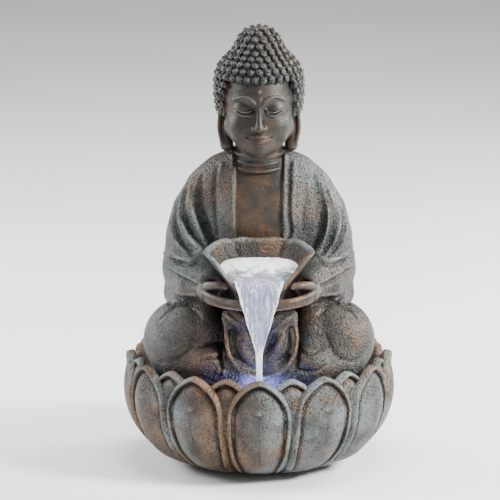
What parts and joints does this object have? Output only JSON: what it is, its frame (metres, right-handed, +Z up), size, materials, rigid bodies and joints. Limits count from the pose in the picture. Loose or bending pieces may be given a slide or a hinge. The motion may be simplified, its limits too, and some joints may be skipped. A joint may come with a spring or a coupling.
{
  "type": "tabletop water fountain",
  "caption": "Seated meditating figure in a lotus petal basin, pouring water from a flared bowl; hidden pump, underwater light and rear access door.",
  "frame": {"origin": "centre of the basin on the resting surface, at the bottom of the foot pads", "axes": "+Z up, the figure faces -Y, +X to the right of a viewer who faces the figure"},
  "size_m": [0.239, 0.239, 0.395],
  "materials": {
    "patina_resin": "cold-cast resin with a grey-green verdigris wash over copper brown, rubbed on the high spots",
    "black_rubber": "matte moulded rubber",
    "black_plastic": "fine-textured moulded plastic",
    "white_plastic": "semi-gloss moulded plastic",
    "clear_vinyl": "clear flexible vinyl",
    "filter_sponge": "open-cell filter foam",
    "ferrite": "sintered ferrite magnet",
    "shaft_steel": "ground stainless steel",
    "brass": "turned brass",
    "led_board": "white solder mask with light emitting diodes",
    "lens": "clear potted lens, lit blue from below"
  },
  "bodies": {
    "root": {"lotus_basin": "patina_resin", "foot_pad_1": "black_rubber", "foot_pad_2": "black_rubber", "foot_pad_3": "black_rubber", "foot_pad_4": "black_rubber", "alms_bowl": "patina_resin", "bowl_nozzle": "black_plastic", "nozzle_gasket": "black_rubber", "nozzle_nut": "black_plastic", "feed_tube": "clear_vinyl", "figure": "patina_resin", "pump_housing": "black_plastic", "pump_volute": "black_plastic", "pump_intake_cover": "black_plastic", "intake_sponge": "filter_sponge", "pump_shaft": "shaft_steel", "rear_bush": "black_rubber", "front_bush": "black_rubber", "suction_cup_1": "black_rubber", "suction_cup_2": "black_rubber", "suction_cup_3": "black_rubber", "suction_cup_4": "black_rubber", "led_housing": "black_plastic", "led_board": "led_board", "led_seal": "black_rubber", "led_lens": "lens", "led_bracket": "black_plastic", "dc_inlet": "black_plastic", "inlet_gasket": "black_rubber", "inlet_nut": "brass", "lead_splice": "black_rubber", "pump_lead": "black_rubber", "led_lead": "black_rubber", "inlet_lead": "black_rubber"},
    "door": {"access_door": "patina_resin"},
    "rotor": {"rotor_magnet": "ferrite", "impeller": "white_plastic"},
    "slider": {"flow_slider": "white_plastic"}
  },
  "joints": [
    {"name": "door_pull", "type": "slide", "parent": "root", "child": "door", "axis": [0, 1, 0], "range_m": [0, 0.05]},
    {"name": "rotor_spin", "type": "hinge", "parent": "root", "child": "rotor", "pos_m": [0, 0.012, 0.034], "axis": [0, 1, 0], "continuous": true},
    {"name": "flow_adjust", "type": "slide", "parent": "root", "child": "slider", "axis": [1, 0, 0], "range_m": [0, 0.006]}
  ]
}
